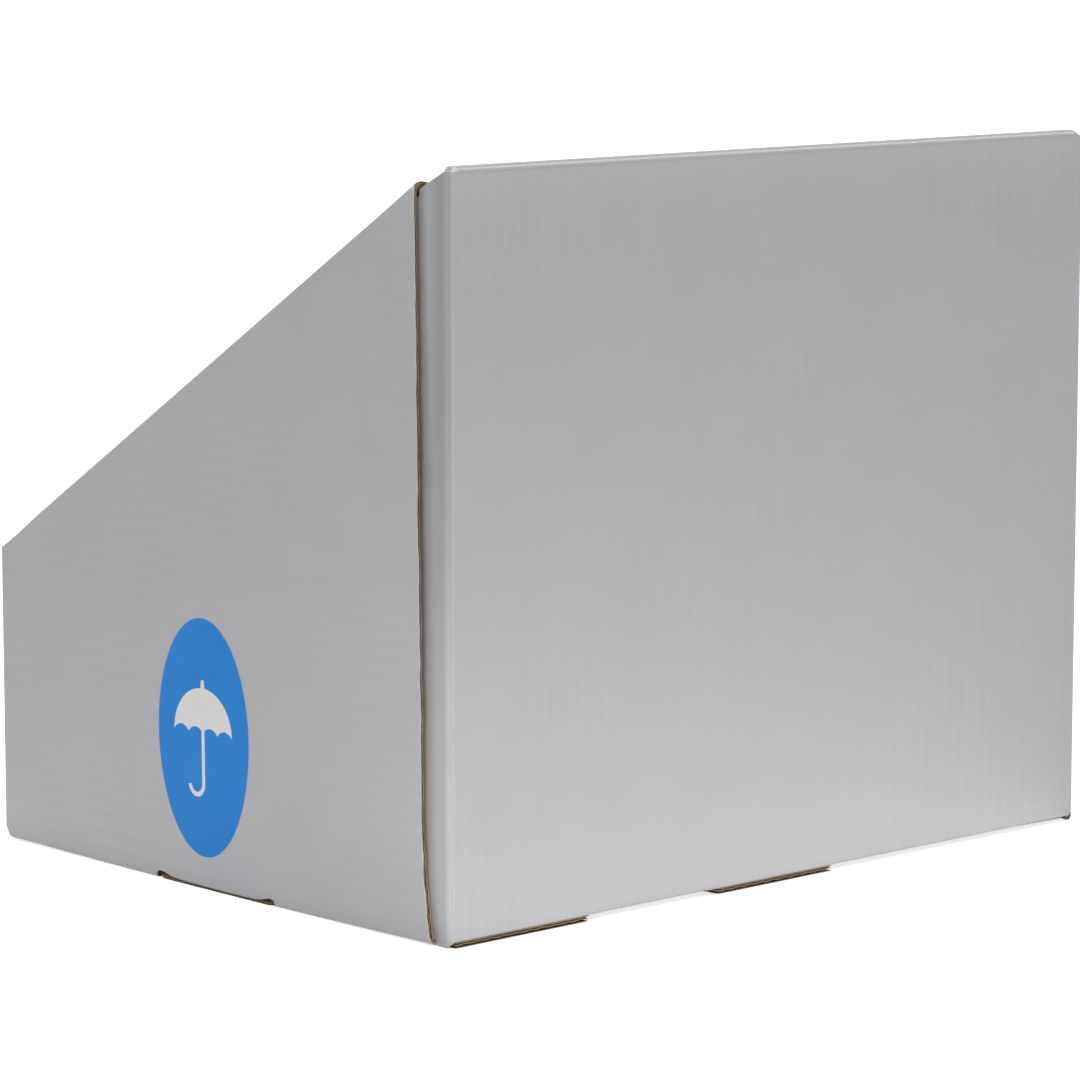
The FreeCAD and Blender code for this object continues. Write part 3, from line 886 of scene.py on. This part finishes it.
def side_wall(hand, end):
    """Side wall: outer panel, slanted rolled top and inner panel from one sheet."""
    foot = LIFT + FOOT_SCORE
    foot_end = foot - FOOT_SCORE * QUARTER - FOOT_RUN
    foot_short = foot - FOOT_SCORE * QUARTER - 0.6 * MM
    up_slope = Vector((math.cos(SLANT), -math.sin(SLANT)))
    along_slope = Vector((math.sin(SLANT), math.cos(SLANT)))
    line = Vector((slant_top(0) - SIDE_SCORE / math.cos(SLANT), 0))
    bend_reach = SIDE_SCORE * QUARTER

    def beyond(flat):
        """Distance past the first score of the folded top."""
        return (flat.xy - line).dot(up_slope)

    def risen(past):
        """Share of its height over the scores that the folded top has reached."""
        ahead = min(past, SIDE_TRAVEL - past)
        return math.sin(min(1, max(0, ahead / bend_reach)) * QUARTER)

    def over(y, z):
        """Flat place of a point of the inner panel."""
        point = Vector((z, y))
        below = -(point - line).dot(up_slope)
        return point + up_slope * (2 * below + SIDE_TRAVEL)

    def fold_end(y, upwards):
        """Flat edge of the top that comes out upright once the board is folded."""
        places = [bend_reach * n / 3 for n in range(4)]
        places += [SIDE_TRAVEL - place for place in reversed(places)]
        points = []
        for past in places if upwards else reversed(places):
            along = (y + SIDE_SCORE * risen(past) * math.sin(SLANT)) / math.cos(SLANT)
            points.append(line + along_slope * along + up_slope * past)
        return points

    def to_edge(flat):
        """Distance from the free rear edge of the outer panel or of the folded top."""
        past = beyond(flat)
        if past > SIDE_TRAVEL:
            return HALF_DEPTH
        if past <= 0:
            return rear_edge(flat.x) - flat.y
        along = (flat.xy - line).dot(along_slope)
        return SIDE_BACK - along * math.cos(SLANT) + SIDE_SCORE * risen(past) * math.sin(SLANT)

    def rim(flat):
        """1 on the free rear edge, 0 away from it."""
        return max(0.0, 1 - to_edge(flat) / (RIM if beyond(flat) <= 0 else ROLL_RIM))

    def wear(flat):
        share = rim(flat)
        if share == 0:
            return 0.0, 0.0
        knock = noise.noise(Vector((flat.x * 110, 0, end)))
        if beyond(flat) > 0:
            return share * 0.66, share * 0.6
        crush = 0.08 + 0.44 * ramp(flat.x, 14 * MM, 45 * MM)
        return share * (crush + 0.12 * knock), share * (0.3 + 0.3 * knock)

    slot = []
    for y, z in SLOT_EDGE:
        slot.append(Vector((flat_foot(z * MM + belly(y * MM)), y * MM)))
    rear_steps = [4 * MM * 1.32**n for n in range(16)]
    rear_steps = [z for z in rear_steps if z < slant_seat(SIDE_BACK) - 8 * MM]
    outline = [Vector((foot_end, -PANEL_END + 4.5 * MM)), Vector((foot_end, slot[0].y))]
    outline += slot
    outline += [
        Vector((foot_end, slot[-1].y)),
        Vector((foot_end, HALF_DEPTH - FLAP_SHOWN - GAP)),
        Vector((foot_short, HALF_DEPTH - FLAP_SHOWN - GAP)),
        Vector((foot_short, rear_edge(LIFT))),
    ]
    outline += [Vector((z, rear_edge(z))) for z in rear_steps]
    outline += fold_end(SIDE_BACK, True)
    tab = (SIDE_LIP[0] + 6 * MM, SIDE_LIP[1] - GAP)
    outline += [over(PANEL_END, slant_seat(PANEL_END)), over(PANEL_END, BASE_TOP)]
    outline += [over(tab[1], BASE_TOP), over(tab[1], BOARD)]
    outline += [over(tab[0], BOARD), over(tab[0], BASE_TOP), over(-PANEL_END, BASE_TOP)]
    outline += fold_end(-PANEL_END, False)
    outline += [Vector((LIFT + 4.5 * MM, -PANEL_END))]

    lines = score_lines(Vector((foot, 0)), Vector((-1, 0)), Vector((0, 1)), FOOT_SCORES)
    lines += score_lines(line, up_slope, along_slope, SIDE_SCORES)
    for share in (0.25, 0.5, 0.75):
        lines.append((line + up_slope * (SIDE_TRAVEL * share), along_slope))
    cuts = []
    marks = [LIFT] + rear_steps + [slant_seat(SIDE_BACK)]
    for inset in (RIM, RIM / 2, FRAYED):
        points = [Vector((z, rear_edge(z) - inset)) for z in marks]
        cuts += list(zip(points, points[1:]))
    for number in range(int(slant_seat(SIDE_BACK) / (3 * MM))):
        z = (number + 1) * 3 * MM
        cuts.append((Vector((z, rear_edge(z) - RIM)), Vector((z, rear_edge(z)))))
    ring = fold_end(SIDE_BACK - ROLL_RIM, True)
    cuts += list(zip(ring, ring[1:]))
    outward = Vector((end, 0, 0))

    def above(flat):
        return beyond(flat) > -WORN_REACH

    def at_foot(flat):
        return flat.x < foot + WORN_REACH

    def shape(co, flat):
        past = beyond(flat)
        if past > SIDE_TRAVEL:
            return Vector()
        crumple = CRUMPLE * rim(flat)
        shake = noise.noise_vector(Vector((flat.x * 140, past * 90, end)))
        stand, sag = outer_shape(co.y, co.z)
        rise = 0.0
        if past > 0:
            across = min(1, max(0, (HALF_WIDTH - abs(co.x)) / WRAP))
            rise = ARCH * ramp(co.y, SIDE_BACK - 14 * MM, SIDE_BACK) * math.sin(math.pi * across)
            rise -= DIP * between(co.y, -130 * MM, -122 * MM, 10 * MM) * risen(past)
        return Vector((end * (stand + crumple * shake.x), crumple * shake.y, rise - sag))

    def frayed(flat):
        off = max(0.0, to_edge(flat))
        patchy = 0.85 + 0.5 * noise.noise(Vector((flat.x * 160, flat.y * 60, end)))
        thin = 2.1 * max(0.0, 1 - off / FRAYED)
        top = ramp(flat.x, slant_seat(SIDE_BACK) - 7 * MM, slant_seat(SIDE_BACK))
        return max(thin, 1.5 * max(0.0, 1 - off / RIM) * top) * patchy

    boards = cut_papers(outline, lines, cuts, wear)
    for bm in boards:
        place_board(bm, lambda co: Vector((end * (HALF_WIDTH + co.z), co.y, co.x)))
        start = Vector((end * HALF_WIDTH, 0, line.x))
        up = Vector((0, up_slope.y, up_slope.x))
        fold(bm, start, up, outward, SIDE_SCORES, above)
        start = Vector((end * HALF_WIDTH, 0, foot))
        fold(bm, start, -UP, outward, FOOT_SCORES, at_foot)
        settle(bm, shape)
        mark_print(bm, "score", frayed)
    join_papers(
        "side_wall_sheet_" + hand,
        boards,
        BOARD_FINISHES,
        "tray",
        ("side_outer_wall_" + hand, "side_top_fold_" + hand, "side_inner_wall_" + hand),
    )


def base_drop(x, y):
    """How far the base sags at a place: its lips are pressed down to the floor."""
    near_wall = ramp(abs(y), HALF_DEPTH - 24 * MM, HALF_DEPTH - 6 * MM)
    middle = ramp(x, MIDDLE_LIP[0] - LIP_RAMP, MIDDLE_LIP[0])
    middle *= 1 - ramp(x, MIDDLE_LIP[1] - LIP_RAMP, MIDDLE_LIP[1] + 2 * MM)
    lips = max(middle, ramp(x, CORNER_LIP[0] - LIP_RAMP, CORNER_LIP[0]))
    near_side = ramp(abs(x), HALF_WIDTH - 30 * MM, HALF_WIDTH - 8 * MM)
    side_lip = between(y, SIDE_LIP[0] + 2 * MM, SIDE_LIP[1] - 8 * MM, LIP_RAMP)
    sag = belly(y) * ramp(abs(x), HALF_WIDTH - 90 * MM, HALF_WIDTH)
    return max(LIFT * near_wall * lips, LIFT * near_side * side_lip, sag)


def base_sheet():
    """Base with the lips that the lock tabs press down."""
    edge_x = HALF_WIDTH - FOOT_SCORE - FOOT_RUN
    edge_y = HALF_DEPTH - FOOT_SCORE - FOOT_RUN - 0.4 * MM
    nose = HALF_DEPTH - 0.1 * MM
    flap_x = FLAP_FACE - BOARD - GAP
    flap_y = HALF_DEPTH - FLAP_SHOWN - GAP
    side_nose = HALF_WIDTH - 0.8 * MM
    front, rear = SIDE_LIP
    right = [
        (edge_x, front),
        (side_nose - MM, front),
        (side_nose, front + 3 * MM),
        (side_nose, rear - 9 * MM),
        (side_nose - 1.5 * MM, rear - 5.5 * MM),
        (edge_x, rear - 4 * MM),
    ]
    left = [(-x, y) for x, y in reversed(right)]
    back = []
    for low, high in (CORNER_LIP, MIDDLE_LIP):
        back += [(high, edge_y), (high, nose), (low, nose), (low, edge_y)]
    front_lips = [(x, -y) for x, y in reversed(back)]
    outline = right + [(edge_x, flap_y), (flap_x, flap_y)] + back
    outline += [(-flap_x, edge_y), (-flap_x, flap_y), (-edge_x, flap_y)] + left
    outline += [(-edge_x, -flap_y), (-flap_x, -flap_y), (-flap_x, -edge_y)] + front_lips
    outline += [(flap_x, -flap_y), (edge_x, -flap_y)]
    outline = [Vector(point) for point in outline]

    lines = []
    level = Vector((1, 0))
    upright = Vector((0, 1))
    for y in (HALF_DEPTH - 24 * MM, -HALF_DEPTH + 8 * MM):
        lines += [(Vector((0, y + 4 * MM * n)), level) for n in range(5)]
    for y in (SIDE_LIP[0] - LIP_RAMP, SIDE_LIP[1] - LIP_RAMP):
        lines += [(Vector((0, y + LIP_RAMP / 4 * n)), level) for n in range(5)]
    for x in (MIDDLE_LIP[0] - LIP_RAMP, MIDDLE_LIP[1] - LIP_RAMP, CORNER_LIP[0] - LIP_RAMP):
        lines += [(Vector((x + LIP_RAMP / 4 * n, 0)), upright) for n in range(5)]
    for x in (side_nose - LIP_NOSE, side_nose - LIP_NOSE / 2):
        lines += [(Vector((x, 0)), upright), (Vector((-x, 0)), upright)]

    def wear(flat):
        nip = ramp(abs(flat.x), side_nose - LIP_NOSE, side_nose)
        tread = ramp(abs(flat.y), HALF_DEPTH - 14 * MM, HALF_DEPTH - 8 * MM)
        knock = noise.noise(Vector((flat.x * 60, flat.y * 60, 0)))
        return 0.6 * nip, max(0.7 * nip, (0.8 + 0.15 * knock) * tread)

    def frayed_noses_and_painted_light(flat):
        """Frayed fluted paper along the edges of the lips, lightened further as painted light where the
        noses lie in shade.
        """
        side_edge = ramp(abs(flat.x), side_nose - LIP_NOSE, side_nose)
        return 2.3 * max(side_edge, ramp(abs(flat.y), nose - 2 * MM, nose - MM))

    boards = cut_papers(outline, lines, wear=wear)
    for bm in boards:
        place_board(bm, lambda co: Vector((co.x, co.y, LIFT - co.z)))
        settle(bm, lambda co, flat: Vector((0, 0, -base_drop(co.x, co.y))))
    # frayed flute edges at the lip noses, with painted light where they lie in shade
    mark_print(boards[1], "score", frayed_noses_and_painted_light)
    join_papers("base_sheet", boards, BOARD_FINISHES, "tray", ("base_panel",))


def wall_creases(place, side):
    """Printed liner that runs round from the base to a wall, and bends as the wall opens."""
    foot = LIFT + FOOT_SCORE
    flat_end = foot - FOOT_SCORE * QUARTER - FOOT_RUN - 0.4 * MM
    stretches = (
        (-FLAP_FACE + TURNED, MIDDLE_LIP[0] - GAP),
        (MIDDLE_LIP[1] + GAP, CORNER_LIP[0] - GAP),
    )
    lines = score_lines(Vector((0, foot)), Vector((0, -1)), Vector((1, 0)), FOOT_SCORES)
    for number, (low, high) in enumerate(stretches, start=1):
        corners = ((low, flat_end), (high, flat_end), (high, foot), (low, foot))
        boards = cut_papers([Vector(corner) for corner in corners], lines, papers=("print",))
        for bm in boards:
            place_board(bm, lambda co: Vector((co.x, side * (HALF_DEPTH + co.z), co.y)))
            start = Vector((0, side * HALF_DEPTH, foot))
            fold(bm, start, -UP, Vector((0, side, 0)), FOOT_SCORES, lambda flat: True)
        strip = join_papers(f"{place}_crease_{number}", boards, BOARD_FINISHES)
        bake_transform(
            strip,
            "tray",
            place + "_wall",
            start=(0, side * (HALF_DEPTH - FOOT_SCORE), LIFT),
            end=(0, side * HALF_DEPTH, foot),
        )


# Printed mark: a blue oval with a white umbrella, laid on the panel as two thin inks


def oval_outline():
    ring = arc(Vector((0, 0)), 1.0, 0, 360 * 71 / 72, 71)
    return [MARK_MIDDLE + Vector((p.x * MARK_HALF.x, p.y * MARK_HALF.y)) for p in ring]


def canopy_outline():
    """Half disc with a small tip on top and a scalloped lower edge."""
    radius = MARK_HALF.x * 0.64
    scallop = radius / 2
    tip = radius * 0.05
    middle = MARK_MIDDLE + Vector((0, radius * 0.05))
    points = arc(middle, radius, 0, 86, 14)
    points += [middle + Vector((tip, radius * 1.18)), middle + Vector((-tip, radius * 1.18))]
    points += arc(middle, radius, 94, 180, 14)
    for number in range(4):
        centre = middle + Vector((-radius + scallop * (number + 0.5), -scallop * 0.35))
        spread = math.degrees(math.atan2(0.35, 0.5))
        reach = scallop * math.hypot(0.35, 0.5)
        points += arc(centre, reach, 180 - spread, spread, 8)[1:]
    return points[:-1]


def handle_outline():
    """Stick that ends in a hook."""
    radius = MARK_HALF.x * 0.64
    half = radius * 0.05
    bend = radius * 0.24
    top = MARK_MIDDLE + Vector((0, radius * 0.2))
    centre = MARK_MIDDLE + Vector((-bend, -radius * 1.05))
    return (
        [Vector((top.x - half, top.y))]
        + arc(centre, bend - half, 0, -170, 12)
        + arc(centre, bend + half, -170, 0, 12)
        + [Vector((top.x + half, top.y))]
    )


def printed_mark(name, outlines, ink, level):
    """Thin ink cut to its outlines and laid on the bowed side panel."""
    cell = Vector((LINER_STEP, LINER_STEP)) / 2
    layers = []
    for outline in outlines:
        low = Vector((min(c.x for c in outline), min(c.y for c in outline)))
        high = Vector((max(c.x for c in outline), max(c.y for c in outline)))
        bm = flat_grid(low, high, cell)
        die_cut(bm, outline, cell)
        bmesh.ops.recalc_face_normals(bm, faces=bm.faces)
        bmesh.ops.solidify(bm, geom=bm.faces[:], thickness=INK)
        bottom = min(vert.co.z for vert in bm.verts)
        flat = bm.verts.layers.float_vector.new("blank")
        bm.verts.layers.float.new("score")
        for vert in bm.verts:
            y, z = vert.co.x, vert.co.y
            stand, sag = outer_shape(y, z)
            vert[flat] = Vector((z, y, 0))
            vert.co = Vector((HALF_WIDTH + stand + level + vert.co.z - bottom, y, z - sag))
        layers.append(bm)
    join_papers(name, layers, (ink,), "tray")


# Camera, light and floor


def aim_camera():
    aim = Vector((0.9, -2.3, 121.5)) * MM
    distance = 1944 * MM
    azimuth = math.radians(42.61)
    elevation = math.radians(8.28)
    back = Vector(
        (
            math.sin(azimuth) * math.cos(elevation),
            math.cos(azimuth) * math.cos(elevation),
            math.sin(elevation),
        )
    )
    data = bpy.data.cameras.new("photo_camera")
    data.sensor_width = 36.0
    data.lens = 156.7
    camera = bpy.data.objects.new("photo_camera", data)
    camera.location = aim + back * distance
    camera.rotation_mode = "QUATERNION"
    camera.rotation_quaternion = (-back).to_track_quat("-Z", "Y")
    bpy.context.scene.collection.objects.link(camera)
    bpy.context.scene.camera = camera


def hang_lamp(name, data, place, target):
    lamp = bpy.data.objects.new(name, data)
    lamp.location = place
    lamp.rotation_mode = "QUATERNION"
    lamp.rotation_quaternion = (Vector(target) - lamp.location).to_track_quat("-Z", "Y")
    lamp.visible_camera = False
    bpy.context.scene.collection.objects.link(lamp)


def broad_light(name, place, strength):
    """Even light from one direction, as a far and large soft box gives."""
    data = bpy.data.lights.new(name, "SUN")
    data.energy = strength
    data.angle = BROAD_ANGLE
    hang_lamp(name, data, place, (0, 0, 0))


def floor_glow(name, place, size, power):
    """Bright patch of floor beside a wall, which lights the wall from below."""
    data = bpy.data.lights.new(name, "AREA")
    data.shape = "RECTANGLE"
    data.size, data.size_y = size
    data.energy = power
    hang_lamp(name, data, (*place, GLOW_HEIGHT), (*place, 1.0))


def seen_rays(tree):
    """1 for what the camera sees directly, in a reflection or through a pane, 0 for light."""
    path = node(tree, "ShaderNodeLightPath")
    seen = math_node(tree, "ADD", path.outputs["Is Camera Ray"], path.outputs["Is Glossy Ray"])
    return math_node(tree, "ADD", seen, path.outputs["Is Transmission Ray"], clamp=True)


FLOOR_LIFT = 0.70
FLOOR_HALF = 30.0
WORLD_LIGHT = 0.22
BROAD_ANGLE = math.radians(40)
GLOW_HEIGHT = 0.4 * MM


def white_floor():
    """Pale floor that keeps the shadow and is lifted to white where it is seen."""
    bm = bmesh.new()
    bmesh.ops.create_grid(bm, x_segments=1, y_segments=1, size=FLOOR_HALF)
    mesh = bpy.data.meshes.new("floor")
    bm.to_mesh(mesh)
    bm.free()
    floor = bpy.data.objects.new("floor", mesh)
    bpy.context.scene.collection.objects.link(floor)
    material, tree, shader = new_material("pale_floor")
    shader.inputs["Base Color"].default_value = (0.85, 0.85, 0.85, 1)
    shader.inputs["Roughness"].default_value = 0.9
    shader.inputs["Emission Color"].default_value = (1, 1, 1, 1)
    lift = math_node(tree, "MULTIPLY", seen_rays(tree), FLOOR_LIFT)
    wire(tree, (lift, shader.inputs["Emission Strength"]))
    mesh.materials.append(material)


def white_world():
    world = bpy.data.worlds.new("studio")
    bpy.context.scene.world = world
    world.use_nodes = True
    tree = world.node_tree
    background = tree.nodes["Background"]
    background.inputs["Color"].default_value = (1, 1, 1, 1)
    strength = map_range(tree, seen_rays(tree), 0.0, 1.0, WORLD_LIGHT, 1.0)
    wire(tree, (strength, background.inputs["Strength"]))


aim_camera()
white_floor()
white_world()
broad_light("key_light", (0.2, 1.2, 2.2), 0.88)
broad_light("side_light", (1.5, 0.6, 1.7), 0.51)
broad_light("front_light", (-0.5, -1.3, 1.5), 0.7)
floor_glow("rear_glow", (0.20, 0.2905), (0.75, 0.30), 0.64)
floor_glow("side_glow", (0.332, 0.10), (0.30, 0.8), 0.18)
bpy.context.scene.view_settings.view_transform = "Standard"

base_sheet()
side_wall("right", 1)
side_wall("left", -1)
cross_wall("back", 1, BACK_TOP)
cross_wall("front", -1, FRONT_TOP)
wall_creases("back", 1)
wall_creases("front", -1)
printed_mark("blue_oval", (oval_outline(),), blue_ink, INK_LEVEL)
printed_mark("white_umbrella", (canopy_outline(), handle_outline()), white_ink, INK_LEVEL + INK)
